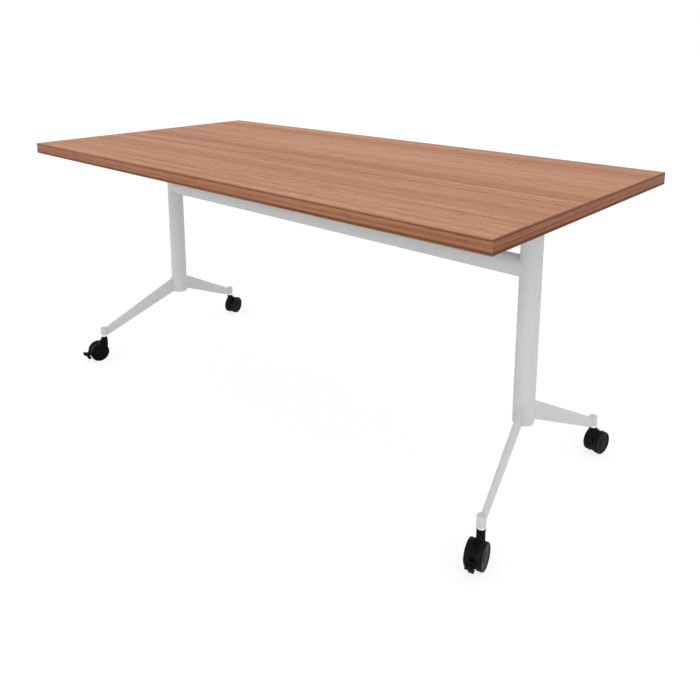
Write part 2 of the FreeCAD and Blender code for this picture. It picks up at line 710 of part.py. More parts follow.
def brake_pedal():
    """Pedal with an arm on its pin, a dished tip to step on and a lower lobe between the wheels."""
    px, pz = pedal_pivot()
    centre = (CASTER_TRAIL, wheel_radius)
    root_x = centre[0] + wheel_radius
    tip_x = root_x + PEDAL_REACH
    mid_x = root_x + PEDAL_REACH / 2
    inside_x = root_x - PEDAL_REACH / 2
    top_z = wheel_radius + PEDAL_RISE
    tip_half = PEDAL_TIP_HEIGHT / 2
    tab_half = PEDAL_WIDTH / 2
    tab = caster_plate([
        (inside_x, top_z - PEDAL_TIP_HEIGHT),
        (inside_x, top_z),
        (root_x + PEDAL_GAP, top_z),
        ((mid_x, top_z - PEDAL_DISH), (tip_x - tip_half, top_z)),
        ((tip_x, top_z - tip_half), (tip_x - tip_half, top_z - PEDAL_TIP_HEIGHT)),
    ], tab_half)
    tab = rounded(tab, PEDAL_ROUND, lambda e: on_sides(e, tab_half) and e.CenterOfMass.x > root_x)
    side_x = root_x + PEDAL_LOBE
    heel_z = top_z - PEDAL_DIP * PEDAL_HEEL
    low_z = top_z - PEDAL_DIP
    lobe_half = PEDAL_LOBE_WIDTH / 2
    lobe = caster_plate([
        (inside_x, top_z - tip_half),
        (mid_x + tip_half, top_z - tip_half),
        ((side_x, top_z - PEDAL_DIP * PEDAL_WAIST), (side_x - PEDAL_GAP, heel_z)),
        ((root_x + PEDAL_LOBE / 3, low_z), (root_x - 2 * PEDAL_GAP, low_z + PEDAL_GAP)),
        (inside_x, top_z - PEDAL_DIP / 2),
    ], lobe_half)
    tread = rod(wheel_radius + PEDAL_GAP, V(centre[0], -PEDAL_WIDTH, centre[1]), Y_AXIS, 2 * PEDAL_WIDTH)
    tab = tab.fuse(lobe).cut(tread)
    arm_half = PEDAL_ARM / 2
    eye = rod(PEDAL_ARM_HEIGHT / 2, V(px, -arm_half, pz), Y_AXIS, PEDAL_ARM)
    strut = block(V(px, -arm_half, pz - PEDAL_ARM_HEIGHT / 2),
                  V(root_x + PEDAL_GAP + tip_half, arm_half, pz))
    pedal = tab.fuse([eye, strut]).removeSplitter()
    return bored(pedal, PEDAL_PIN_DIAMETER / 2 + RUN_GAP, V(px, -arm_half, pz), Y_AXIS, PEDAL_ARM)


def pedal_pin():
    """Pin that carries a brake pedal in its housing."""
    px, pz = pedal_pivot()
    return rod(PEDAL_PIN_DIAMETER / 2, V(px, -WEB_THICKNESS / 2, pz), Y_AXIS, WEB_THICKNESS)


def build():
    """All pieces by name."""
    pieces = {
        "top_board": board(),
        "edge_strip_front": long_strip(-1),
        "edge_strip_rear": long_strip(1),
        "edge_strip_left": end_strip(-1),
        "edge_strip_right": end_strip(1),
        "bracket_screws": bracket_screws(),
        "friction_washers": friction_washers(),
        "lever_spacers": lever_spacers(),
        "pivot_nuts": pivot_nuts(),
        "stop_buffers": stop_buffers(),
        "cross_beam": cross_beam(),
        "beam_set_screws": beam_set_screws(),
        "stem_sleeves": stem_sleeves(),
    }
    for name, side in SIDES.items():
        pieces["tilt_bracket_" + name] = tilt_bracket(side)
        pieces["pivot_bolt_" + name] = pivot_bolt(side)
        pieces["clamp_lever_" + name] = clamp_lever(side)
        pieces["column_" + name] = column(side)
        pieces["column_plug_" + name] = column_plug(side)
        pieces["column_head_" + name] = column_head(side)
        pieces["beam_spigot_" + name] = beam_spigot(side)
    for corner, (sx, sy) in CORNERS.items():
        braked = sy < 0
        pieces["arm_" + corner] = arm(corner)
        pieces["caster_socket_" + corner] = caster_socket(corner)
        pieces["caster_stem_" + corner] = caster_stem(corner)
        pieces["caster_housing_" + corner] = placed(caster_housing(braked), corner)
        pieces["caster_axle_" + corner] = placed(wheel_axle(), corner)
        pieces["wheel_a_" + corner] = placed(wheel(1), corner)
        pieces["wheel_b_" + corner] = placed(wheel(-1), corner)
        if braked:
            pieces["brake_pedal_" + corner] = placed(brake_pedal(), corner)
            pieces["pedal_pin_" + corner] = placed(pedal_pin(), corner)
    return pieces


def main():
    """Builds every piece and writes one file for each."""
    os.makedirs("parts", exist_ok=True)
    pieces = build()
    for name, shape in pieces.items():
        volume = sum(solid.Volume for solid in shape.Solids)
        print(name, "solids", len(shape.Solids), "valid", shape.isValid(), "volume", round(volume, 1))
        shape.exportStep("parts/" + name + ".step")
    print("pieces", len(pieces))


main()
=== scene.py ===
# Dresses the table: materials, small built-up details, floor, light and camera
# Lengths are in metres where a heading names no other unit.
import json
import math

import bmesh
import bpy
from mathutils import Matrix, Vector


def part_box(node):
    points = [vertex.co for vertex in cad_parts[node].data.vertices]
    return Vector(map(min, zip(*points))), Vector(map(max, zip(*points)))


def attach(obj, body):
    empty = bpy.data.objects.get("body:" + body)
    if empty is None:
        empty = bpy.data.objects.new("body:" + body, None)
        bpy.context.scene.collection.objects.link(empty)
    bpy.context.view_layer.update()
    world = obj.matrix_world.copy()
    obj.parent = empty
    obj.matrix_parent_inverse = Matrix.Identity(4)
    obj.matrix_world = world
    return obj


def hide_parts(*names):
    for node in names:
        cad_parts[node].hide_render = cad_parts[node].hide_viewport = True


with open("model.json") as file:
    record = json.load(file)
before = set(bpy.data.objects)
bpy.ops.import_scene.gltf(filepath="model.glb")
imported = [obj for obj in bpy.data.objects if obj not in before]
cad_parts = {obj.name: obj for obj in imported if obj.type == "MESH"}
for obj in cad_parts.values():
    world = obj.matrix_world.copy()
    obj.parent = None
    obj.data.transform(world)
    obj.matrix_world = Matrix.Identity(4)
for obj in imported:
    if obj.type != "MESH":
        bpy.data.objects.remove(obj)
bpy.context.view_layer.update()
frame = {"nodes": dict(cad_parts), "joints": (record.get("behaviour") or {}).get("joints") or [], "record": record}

# Sides and corners, as the nodes, bodies and joints are named
SIDES = {"left": -1, "right": 1}
CORNERS = ("front_left", "front_right", "rear_left", "rear_right")
BRAKED_CORNERS = ("front_left", "front_right")

# Beads: the weld seams and, without ripples, the ribs
ARM_HALF = 0.004
BEAD_STEP = 0.0007
BEAD_SIDES = 10
BEAD_END = 0.35
BEAD_GROWTH = 0.3
RIPPLE = 0.09
RIPPLE_STEPS = 4
COLUMN_BEAD = 0.0021
COLUMN_BEAD_HEIGHT = 0.047
COLUMN_BEAD_DIP = 0.0012
SOCKET_BEAD = 0.0014
SOCKET_GAP_BELOW = 0.0014
SOCKET_GAP_ABOVE = 0.0028
BEAD_SEAT = 0.25

# Bracket screws
BRACKET_PLATE = 0.004
SCREW_ASIDE = 0.026
SCREW_ALONG = 0.140
SCREW_RADIUS = 0.005
SCREW_HEAD = 0.003
SCREW_ROUND = 0.0015
SCREW_RINGS = 20
SCREW_SIDES = 64
SCREW_TURN = 7.0
SCREW_TURN_ALONG = 2
RECESS_HALF = 0.00075
RECESS_REACH = 0.0026
RECESS_SOFT = 0.0003
RECESS_DEPTH = 0.0016
SHANK_RADIUS = 0.0025
SHANK_RISE = 0.0038

# Pedal ribs, in the caster's own plane: distance from the stem, and height
PEDAL_DISH = ((0.0515, 0.0325), (0.0595, 0.0295), (0.0650, 0.0325))
PEDAL_RIBS = (0.0552, 0.0582, 0.0612)
PEDAL_RIB_HALF = 0.0074
RIB_RADIUS = 0.0007
RIB_SINK = 0.0001

# Lever ribs, by their distance from the pivot
LEVER_HUB_RADIUS = 0.013
LEVER_TIP_RADIUS = 0.0065
LEVER_TIP_REACH = 0.0715
LEVER_RIBS = (0.044, 0.050, 0.056, 0.062, 0.068)
LEVER_RIB_HALF = 0.0028

# Camera, with its lens and sensor in millimetres and its angles in degrees
CAMERA_PLACE = (1.4087, -1.4374, 1.0621)
CAMERA_PITCH = 11.5298
CAMERA_YAW = 41.9938
CAMERA_LENS = 38.1354
CAMERA_SENSOR = 36.0
CAMERA_SHIFT = (0.0055, -0.24)
LEVEL_VIEW = 90.0

# Light, with the lamps' angle in degrees, and floor
AMBIENT = 0.83
LAMP_ANGLE = 80.0
LAMPS = {
    "front_lamp": ((0.0, -1.0, 0.15), 0.75),
    "right_lamp": ((0.82, -0.55, 0.2), 0.6),
    "rear_lamp": ((0.3, 0.8, 0.45), 0.3),
}
FLOOR_HALF = 40.0
FLOOR_DROP = 0.0004
FLOOR_BOUNCE = (0.85, 0.85, 0.85, 1.0)
FLOOR_SEEN = (0.26, 0.26, 0.26, 1.0)
FLOOR_GLOW = 0.79
WHITE = (1.0, 1.0, 1.0, 1.0)

# Noise layers of the materials: scale, detail, roughness and distortion
LAYERS = {
    "wood_drift": (1.0, 2.0, 0.5, 0.0),
    "wood_bands": (1.0, 3.0, 0.5, 0.0),
    "wood_grain": (1.0, 6.0, 0.66, 0.0),
    "wood_hair": (1.0, 3.0, 0.6, 0.0),
    "wood_pores": (1.0, 2.0, 0.5, 0.0),
    "backing_cloud": (14.0, 4.0, 0.6, 0.0),
    "backing_fleck": (900.0, 2.0, 0.6, 0.0),
    "paint_drift": (9.0, 3.0, 0.55, 0.0),
    "paint_peel": (700.0, 2.0, 0.5, 0.0),
    "paint_waves": (210.0, 2.0, 0.5, 0.0),
    "paint_marks": (1.0, 5.0, 0.7, 0.0),
    "paint_specks": (1500.0, 1.0, 0.5, 0.0),
    "plastic_grain": (1100.0, 2.0, 0.6, 0.0),
    "plastic_flow": (1.0, 3.0, 0.5, 0.6),
    "tread_scuff": (260.0, 4.0, 0.65, 0.0),
    "tread_dust": (60.0, 3.0, 0.6, 0.0),
    "tread_grain": (1300.0, 2.0, 0.5, 0.0),
    "plating_cloud": (130.0, 4.0, 0.6, 0.0),
    "plating_lines": (1.0, 2.0, 0.5, 0.0),
    "fibre_strands": (1.0, 4.0, 0.7, 1.2),
    "rubber_bloom": (240.0, 4.0, 0.6, 0.0),
    "rubber_grain": (1600.0, 2.0, 0.5, 0.0),
}

# Ranges that most noise values are stretched from and to
NOISE_RANGE = (0.3, 0.7)
FULL_RANGE = (0.0, 1.0)
FALLING_RANGE = (1.0, 0.0)


def colour(red, green, blue):
    """A linear colour with full cover."""
    return (red, green, blue, 1.0)


def shade(tone, factor, lift=0.0):
    """A tone made darker or paler, with full cover."""
    return colour(*(min(1.0, part * factor + lift) for part in tone[:3]))


# Wood pattern: crosswise and lengthwise rates of its layers, in cycles a metre, and how they join
WOOD_DRIFT_SCALE = (0.9, 2.0, 2.0)
BAND_RATES = (9.0, 0.2)
GRAIN_RATES = (75.0, 0.8)
HAIR_RATES = (300.0, 4.0)
PORE_RATES = (460.0, 26.0)
BAND_SHARE = 0.22
GRAIN_SHARE = 0.78
TONE_MIDDLE = 0.5
TONE_REACH = 0.19
TONE_STOPS = (0.06, 0.5, 0.94)
STREAK_GRAIN = (0.68, 0.36)
STREAK_SHARE = (0.6, 1.0)
HAIR_RANGE = (0.5, 0.75)
HAIR_DEPTH = 0.45
PORE_RANGE = (0.59, 0.68)
PORE_DEPTH = 0.85
PORE_SHADE = 0.55
HAIR_RELIEF = 0.5
WOOD_ROUGHNESS = (0.48, 0.6)
WOOD_SPECULAR = 0.08
WOOD_BUMP = (0.12, 0.0004)

# The three woods. Tones: dark, middle, light and streak. Figure: each streak's middle, half and depth
TOP_WOOD = {
    "lengthwise": "X",
    "crosswise": "Y",
    "tones": (colour(0.338, 0.107, 0.038), colour(0.525, 0.255, 0.145),
              colour(0.606, 0.341, 0.217), colour(0.380, 0.128, 0.049)),
    "offset": (0.31, 0.07, 0.0),
    "contrast": 0.9,
    "sway": 0.005,
    "figure": [(-0.197, 0.046, 0.72), (-0.099, 0.019, 0.9), (-0.011, 0.046, 0.72),
               (0.308, 0.050, 0.75), (-0.362, 0.014, 0.3)],
}
# On the edge strips the streaks are dark lines at set heights. The lowest one darkens the strip towards its lower
# edge and is partly the wood print, partly painted shade.
LONG_EDGE_WOOD = {
    "lengthwise": "X",
    "crosswise": "Z",
    "tones": (colour(0.100, 0.032, 0.016), colour(0.382, 0.168, 0.095),
              colour(0.472, 0.225, 0.135), colour(0.100, 0.032, 0.016)),
    "offset": (0.9, 0.4, 0.2),
    "contrast": 0.5,
    "sway": 0.0006,
    "figure": [(0.7085, 0.0024, 0.55), (0.7217, 0.0026, 0.95), (0.6985, 0.0055, 1.0)],
}
# End edge strips: the edge wood laid along Y, with tones darker than the long edges' as painted shade on the end
# faces.
SHADED_END_EDGE_WOOD = {
    "lengthwise": "Y",
    "crosswise": "Z",
    "tones": (colour(0.080, 0.023, 0.010), colour(0.350, 0.141, 0.073),
              colour(0.430, 0.188, 0.104), colour(0.080, 0.023, 0.010)),
    "offset": (0.5, 0.1, 0.6),
    "contrast": 0.5,
    "sway": 0.0006,
    "figure": [(0.7085, 0.0024, 0.65), (0.7215, 0.0028, 1.0), (0.6985, 0.0060, 1.0)],
}

# Backing sheet under the top
BACKING_TONE = colour(0.56, 0.56, 0.55)
BACKING_BLEND = 0.0002
BACKING_CLOUD_SHADE = 0.985
BACKING_FLECK_RANGE = (0.5, 0.8)
BACKING_FLECK_DEPTH = (0.0, 0.16)
BACKING_FLECK_SHADE = 0.7

# Powder coat
PAINT_TONE = colour(0.609, 0.606, 0.602)
PAINT_SHADE = 0.955
PAINT_DRIFT_RANGE = (0.35, 0.65)
PAINT_MARK_SCALE = (60, 60, 18)
PAINT_SPECK_RANGE = (0.68, 0.8)
PAINT_SPECK_DEPTH = (0.0, 0.12)
PAINT_PEEL_RELIEF = 0.6
PAINT_WAVE_RELIEF = 0.6
PAINT_ROUGHNESS = (0.4, 0.52)
PAINT_SPECULAR = 0.3
PAINT_BUMP = (0.16, 0.0003)

# Moulded plastics
WHITE_PLASTIC_TONE = colour(0.60, 0.60, 0.595)
WHITE_PLASTIC_ROUGHNESS = 0.5
WHITE_PLASTIC_SPECULAR = 0.3
BLACK_PLASTIC_TONE = colour(0.0025, 0.0025, 0.0027)
BLACK_PLASTIC_ROUGHNESS = 0.45
BLACK_PLASTIC_SPECULAR = 0.07
FLOW_SCALE = (40, 40, 90)
FLOW_PALER = 1.5
FLOW_LIFT = 0.004
FLOW_RANGE = (0.4, 0.75)
FLOW_DEPTH = (0.0, 0.8)
FLOW_SMOOTHER = 0.05
FLOW_ROUGHER = 0.07
PLASTIC_BUMP = (0.2, 0.00018)

# Caster wheels
TREAD_DARK = colour(0.002, 0.002, 0.0022)
TREAD_DUST = colour(0.005, 0.005, 0.0052)
# Greyer tone of the running surface: partly scuffing, partly a painted highlight.
TREAD_WEAR_AND_HIGHLIGHT = colour(0.011, 0.011, 0.0105)
RUNNING_RANGE = (0.0275, 0.0287)
RING_RATE = 5200.0
RIDGE_RATE = 3800.0
DUST_RANGE = (0.35, 0.75)
DUST_DEPTH = (0.0, 0.7)
WEAR_AND_HIGHLIGHT_DEPTH = (0.35, 1.0)
RING_RELIEF = 0.12
TREAD_GRAIN_RELIEF = 0.5
RIDGE_RELIEF = 0.2
TREAD_ROUGHNESS = (0.34, 0.46)
RUNNING_ROUGHER = 0.16
TREAD_SPECULAR = 0.06
TREAD_BUMP = (0.2, 0.0003)
SQUARE = 2.0

# Plated steels
ZINC_TONES = (colour(0.50, 0.51, 0.52), colour(0.57, 0.55, 0.50))
ZINC_ROUGHNESS = 0.28
BRIGHT_TONES = (colour(0.90, 0.91, 0.92), colour(0.93, 0.92, 0.90))
BRIGHT_ROUGHNESS = 0.12
PLATING_ROUGHER = 0.14
PLATING_RANGE = (0.35, 0.7)
PLATING_LINE_SCALE = (2600, 500, 2600)
PLATING_BUMP = (0.08, 0.0001)
METAL = 1.0

# Friction fibre
FIBRE_SCALE = (500, 1800, 900)
FIBRE_STOPS = [
    (0.3, colour(0.16, 0.13, 0.10)),
    (0.55, colour(0.30, 0.26, 0.20)),
    (0.8, colour(0.42, 0.38, 0.30)),
]
FIBRE_ROUGHNESS = (0.75, 0.92)
FIBRE_BUMP = (0.3, 0.0003)

# Rubber
RUBBER_TONE = colour(0.014, 0.014, 0.014)
RUBBER_BLOOM = colour(0.045, 0.044, 0.042)
RUBBER_BLOOM_RANGE = (0.4, 0.75)
RUBBER_ROUGHNESS = (0.6, 0.8)
RUBBER_BUMP = (0.15, 0.0002)


# Places that the frame gives
joints = {joint["name"]: joint for joint in frame["joints"]}
top_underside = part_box("top_board")[0].z


def joint_place(name):
    """The place of a joint at rest."""
    return Vector(joints[name]["pos_m"])


def caster_turn(corner):
    """The direction in which a caster trails, square to its wheels' axis, in radians."""
    axis = Vector(joints["wheel_a_spin_" + corner]["axis"])
    return math.atan2(-axis.x, axis.y)


def floor_point(node):
    """The point at floor level under the middle of a node."""
    low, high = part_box(node)
    return Vector(((low.x + high.x) / 2, (low.y + high.y) / 2, 0))


def round_radius(node):
    """The radius of a round upright node."""
    low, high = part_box(node)
    return (high.x - low.x) / 2


class Nodes:
    """A material with short ways to add and join its nodes."""

    def __init__(self, name):
        self.material = bpy.data.materials.new(name)
        self.material.use_nodes = True
        self.tree = self.material.node_tree
        self.tree.nodes.clear()
        output = self.tree.nodes.new("ShaderNodeOutputMaterial")
        self.shader = self.tree.nodes.new("ShaderNodeBsdfPrincipled")
        self.tree.links.new(self.shader.outputs["BSDF"], output.inputs["Surface"])
        self.place = self.tree.nodes.new("ShaderNodeTexCoord").outputs["Object"]

    def put(self, socket, value):
        """Joins a socket to the input, or sets a plain value on it."""
        if isinstance(value, bpy.types.NodeSocket):
            self.tree.links.new(value, socket)
        else:
            socket.default_value = value

    def set(self, **values):
        """Sets or joins the shader's inputs by name, with _ for a space."""
        for name, value in values.items():
            self.put(self.shader.inputs[name.replace("_", " ")], value)

    def mapped(self, scale=(1, 1, 1), location=(0, 0, 0), turn=0.0, source=None):
        """Coordinates scaled, turned about Z and moved."""
        node = self.tree.nodes.new("ShaderNodeMapping")
        self.put(node.inputs["Vector"], source or self.place)
        node.inputs["Location"].default_value = location
        node.inputs["Rotation"].default_value = (0, 0, turn)
        node.inputs["Scale"].default_value = scale
        return node.outputs["Vector"]

    def moved(self, axis, distance):
        """The place moved along one axis by a value."""
        shift = self.tree.nodes.new("ShaderNodeCombineXYZ")
        self.put(shift.inputs[axis], distance)
        total = self.tree.nodes.new("ShaderNodeVectorMath")
        total.operation = "ADD"
        self.put(total.inputs[0], self.place)
        self.put(total.inputs[1], shift.outputs["Vector"])
        return total.outputs["Vector"]

    def split(self, vector):
        """The X, Y and Z of coordinates, by name."""
        node = self.tree.nodes.new("ShaderNodeSeparateXYZ")
        self.put(node.inputs["Vector"], vector)
        return node.outputs

    def layer(self, name, vector):
        """The value of a named noise layer at the coordinates."""
        node = self.tree.nodes.new("ShaderNodeTexNoise")
        self.put(node.inputs["Vector"], vector)
        for socket, value in zip(("Scale", "Detail", "Roughness", "Distortion"), LAYERS[name]):
            node.inputs[socket].default_value = value
        return node.outputs["Fac"]

    def spread(self, value, old_range, new_range=FULL_RANGE, curve="LINEAR"):
        """A value stretched from one range to another and held inside it."""
        node = self.tree.nodes.new("ShaderNodeMapRange")
        node.interpolation_type = curve
        self.put(node.inputs["Value"], value)
        for socket, limit in zip(("From Min", "From Max", "To Min", "To Max"), (*old_range, *new_range)):
            node.inputs[socket].default_value = limit
        return node.outputs["Result"]

    def math(self, operation, first, second=0.0):
        """One sum on two values."""
        node = self.tree.nodes.new("ShaderNodeMath")
        node.operation = operation
        self.put(node.inputs[0], first)
        self.put(node.inputs[1], second)
        return node.outputs["Value"]

    def total(self, *pairs):
        """The sum of values, each times its share."""
        terms = [self.math("MULTIPLY", value, share) for value, share in pairs]
        result = terms[0]
        for term in terms[1:]:
            result = self.math("ADD", result, term)
        return result

    def mix(self, factor, first, second, blend="MIX"):
        """Two colours mixed by a value."""
        node = self.tree.nodes.new("ShaderNodeMix")
        node.data_type = "RGBA"
        node.blend_type = blend
        factor_socket, first_socket, second_socket = colour_mix_sockets(node)
        self.put(factor_socket, factor)
        self.put(first_socket, first)
        self.put(second_socket, second)
        return next(socket for socket in node.outputs if socket.type == "RGBA")

    def ramp(self, value, stops):
        """A colour picked from stops of (place, colour) by a value."""
        node = self.tree.nodes.new("ShaderNodeValToRGB")
        self.put(node.inputs["Fac"], value)
        elements = node.color_ramp.elements
        while len(elements) < len(stops):
            elements.new(stops[-1][0])
        for element, (place, tone) in zip(elements, stops):
            element.position = place
            element.color = tone
        return node.outputs["Color"]

    def bump(self, height, strength, distance):
        """A normal bent by a height."""
        node = self.tree.nodes.new("ShaderNodeBump")
        node.inputs["Strength"].default_value = strength
        node.inputs["Distance"].default_value = distance
        self.put(node.inputs["Height"], height)
        return node.outputs["Normal"]


def colour_mix_sockets(node):
    """The factor and the two colour inputs of a colour mix."""
    colours = [socket for socket in node.inputs if socket.type == "RGBA"]
    return node.inputs["Factor"], *colours


# Materials
def wood(name, lengthwise, crosswise, tones, offset, contrast, sway, figure):
    """Wood-pattern laminate along one axis.

    Broad bands, grain lines, hair lines and pores, with a figure of streaks.
    """
    nodes = Nodes(name)
    dark, middle, light, deep = tones
    drift = nodes.layer("wood_drift", nodes.mapped(WOOD_DRIFT_SCALE, offset))
    place = nodes.moved(crosswise, nodes.spread(drift, NOISE_RANGE, (-sway, sway)))

    def along(rates):
        """Coordinates with a crosswise and a lengthwise rate."""
        across_rate, length_rate = rates
        scale = [length_rate if axis == lengthwise else across_rate for axis in "XYZ"]
        return nodes.mapped(scale, offset, source=place)

    bands = nodes.layer("wood_bands", along(BAND_RATES))
    grain = nodes.layer("wood_grain", along(GRAIN_RATES))
    fine = nodes.layer("wood_hair", along(HAIR_RATES))
    pores = nodes.layer("wood_pores", along(PORE_RATES))
    tone_half = TONE_REACH / contrast
    tone = nodes.total((bands, BAND_SHARE), (grain, GRAIN_SHARE))
    tone = nodes.spread(tone, (TONE_MIDDLE - tone_half, TONE_MIDDLE + tone_half))
    base = nodes.ramp(tone, list(zip(TONE_STOPS, (dark, middle, light))))
    crossing = nodes.split(place)[crosswise]
    for streak_middle, half, strength in figure:
        away = nodes.math("ABSOLUTE", nodes.math("SUBTRACT", crossing, streak_middle))
        streak = nodes.spread(away, (0.0, half), (strength, 0.0), "SMOOTHSTEP")
        streak = nodes.math("MULTIPLY", streak, nodes.spread(grain, STREAK_GRAIN, STREAK_SHARE))
        base = nodes.mix(streak, base, deep)
    hair = nodes.spread(fine, HAIR_RANGE, (0.0, HAIR_DEPTH * contrast))
    base = nodes.mix(hair, base, dark)
    pit = nodes.spread(pores, PORE_RANGE, (0.0, PORE_DEPTH * contrast))
    base = nodes.mix(pit, base, shade(dark, PORE_SHADE))
    height = nodes.math("SUBTRACT", nodes.math("MULTIPLY", fine, HAIR_RELIEF), pit)
    nodes.set(Base_Color=base, Roughness=nodes.spread(grain, NOISE_RANGE, WOOD_ROUGHNESS),
              Specular_IOR_Level=WOOD_SPECULAR, Normal=nodes.bump(height, *WOOD_BUMP))
    return nodes


def add_backing(nodes, level):
    """Lays a plain pale backing sheet over everything below a level."""
    height = nodes.split(nodes.place)["Z"]
    below = nodes.spread(height, (level, level + BACKING_BLEND), FALLING_RANGE)
    cloud = nodes.spread(nodes.layer("backing_cloud", nodes.place), NOISE_RANGE)
    fleck = nodes.layer("backing_fleck", nodes.place)
    fleck = nodes.spread(fleck, BACKING_FLECK_RANGE, BACKING_FLECK_DEPTH)
    pale = nodes.mix(cloud, shade(BACKING_TONE, BACKING_CLOUD_SHADE), BACKING_TONE)
    pale = nodes.mix(fleck, pale, shade(BACKING_TONE, BACKING_FLECK_SHADE))
    face = nodes.shader.inputs["Base Color"].links[0].from_socket
    nodes.set(Base_Color=nodes.mix(below, face, pale))


def paint(name, tone):
    """Powder coat: fine orange peel, slight colour drift and faint handling marks."""
    nodes = Nodes(name)
    drift = nodes.spread(nodes.layer("paint_drift", nodes.place), PAINT_DRIFT_RANGE)
    peel = nodes.layer("paint_peel", nodes.place)
    waves = nodes.layer("paint_waves", nodes.place)
    marks = nodes.layer("paint_marks", nodes.mapped(PAINT_MARK_SCALE))
    low = shade(tone, PAINT_SHADE)
    base = nodes.mix(drift, low, tone)
    specks = nodes.layer("paint_specks", nodes.place)
    specks = nodes.spread(specks, PAINT_SPECK_RANGE, PAINT_SPECK_DEPTH)
    base = nodes.mix(specks, base, low, "MULTIPLY")
    height = nodes.total((peel, PAINT_PEEL_RELIEF), (waves, PAINT_WAVE_RELIEF))
    nodes.set(Base_Color=base, Roughness=nodes.spread(marks, NOISE_RANGE, PAINT_ROUGHNESS),
              Specular_IOR_Level=PAINT_SPECULAR, Normal=nodes.bump(height, *PAINT_BUMP))
    return nodes.material


def moulded(name, tone, rough, specular):
    """Moulded plastic: fine spark-eroded grain and faint flow marks."""
    nodes = Nodes(name)
    grain = nodes.layer("plastic_grain", nodes.place)
    flow = nodes.layer("plastic_flow", nodes.mapped(FLOW_SCALE))
    pale = shade(tone, FLOW_PALER, FLOW_LIFT)
    base = nodes.mix(nodes.spread(flow, FLOW_RANGE, FLOW_DEPTH), tone, pale)
    rough_range = (rough - FLOW_SMOOTHER, rough + FLOW_ROUGHER)
    nodes.set(Base_Color=base, Roughness=nodes.spread(flow, NOISE_RANGE, rough_range),
              Specular_IOR_Level=specular, Normal=nodes.bump(grain, *PLASTIC_BUMP))
    return nodes.material


def tread(corner):
    """Caster wheel: moulded rings on the faces, and a scuffed, dusty running surface made greyer, partly as a
    painted highlight.
    """
    nodes = Nodes("caster_wheel_" + corner)
    centred = nodes.mapped(location=-joint_place("wheel_a_spin_" + corner))
    local = nodes.mapped(turn=-caster_turn(corner), source=centred)
    parts = nodes.split(local)
    squares = [nodes.math("POWER", parts[axis], SQUARE) for axis in "XZ"]
    radius = nodes.math("SQRT", nodes.math("ADD", *squares))
    running = nodes.spread(radius, RUNNING_RANGE)
    rings = nodes.math("SINE", nodes.math("MULTIPLY", radius, RING_RATE))
    scuff = nodes.layer("tread_scuff", local)
    dust = nodes.layer("tread_dust", local)
    grain = nodes.layer("tread_grain", local)
    base = nodes.mix(nodes.spread(dust, DUST_RANGE, DUST_DEPTH), TREAD_DARK, TREAD_DUST)
    # The running surface turns greyer in patches: partly scuffing, partly a painted highlight.
    wear_and_highlight = nodes.math("MULTIPLY", running, nodes.spread(scuff, NOISE_RANGE, WEAR_AND_HIGHLIGHT_DEPTH))
    base = nodes.mix(wear_and_highlight, base, TREAD_WEAR_AND_HIGHLIGHT)
    lines = nodes.math("MULTIPLY", nodes.math("ABSOLUTE", parts["Y"]), RIDGE_RATE)
    ridges = nodes.math("MULTIPLY", nodes.math("SINE", lines), running)
    height = nodes.total((rings, RING_RELIEF), (grain, TREAD_GRAIN_RELIEF), (ridges, RIDGE_RELIEF))
    rough = nodes.math("ADD", nodes.spread(scuff, NOISE_RANGE, TREAD_ROUGHNESS),
                       nodes.math("MULTIPLY", running, RUNNING_ROUGHER))
    nodes.set(Base_Color=base, Roughness=rough, Specular_IOR_Level=TREAD_SPECULAR,
              Normal=nodes.bump(height, *TREAD_BUMP))
    return nodes.material


def plated(name, tones, rough):
    """Plated steel: fine turning lines, cloudy roughness and a faint yellow cast in places."""
    nodes = Nodes(name)
    cool, warm = tones
    cloud = nodes.layer("plating_cloud", nodes.place)
    lines = nodes.layer("plating_lines", nodes.mapped(PLATING_LINE_SCALE))
    base = nodes.mix(nodes.spread(cloud, PLATING_RANGE), cool, warm)
    rough_range = (rough, rough + PLATING_ROUGHER)
    nodes.set(Base_Color=base, Metallic=METAL, Roughness=nodes.spread(cloud, NOISE_RANGE, rough_range),
              Normal=nodes.bump(lines, *PLATING_BUMP))
    return nodes.material


def pressed_fibre(name):
    """Friction fibre: short mixed fibres in a brown binder."""
    nodes = Nodes(name)
    fibres = nodes.layer("fibre_strands", nodes.mapped(FIBRE_SCALE))
    nodes.set(Base_Color=nodes.ramp(fibres, FIBRE_STOPS),
              Roughness=nodes.spread(fibres, NOISE_RANGE, FIBRE_ROUGHNESS),
              Normal=nodes.bump(fibres, *FIBRE_BUMP))
    return nodes.material


def rubber(name):
    """Moulded rubber: dull, with a pale bloom."""
    nodes = Nodes(name)
    bloom = nodes.layer("rubber_bloom", nodes.place)
    grain = nodes.layer("rubber_grain", nodes.place)
    base = nodes.mix(nodes.spread(bloom, RUBBER_BLOOM_RANGE), RUBBER_TONE, RUBBER_BLOOM)
    nodes.set(Base_Color=base, Roughness=nodes.spread(bloom, NOISE_RANGE, RUBBER_ROUGHNESS),
              Normal=nodes.bump(grain, *RUBBER_BUMP))
    return nodes.material


top_nodes = wood("wood_top", **TOP_WOOD)
add_backing(top_nodes, top_underside + BACKING_BLEND)
# The end edge strips get the darker copy of the edge wood: painted shade.
shaded_end_edge_wood = wood("wood_edge_end_shaded", **SHADED_END_EDGE_WOOD).material
white_paint = paint("white_paint", PAINT_TONE)
black_plastic = moulded("black_plastic", BLACK_PLASTIC_TONE, BLACK_PLASTIC_ROUGHNESS,
                        BLACK_PLASTIC_SPECULAR)
zinc_steel = plated("zinc_steel", ZINC_TONES, ZINC_ROUGHNESS)
bright_steel = plated("bright_steel", BRIGHT_TONES, BRIGHT_ROUGHNESS)
wheel_blacks = {corner: tread(corner) for corner in CORNERS}

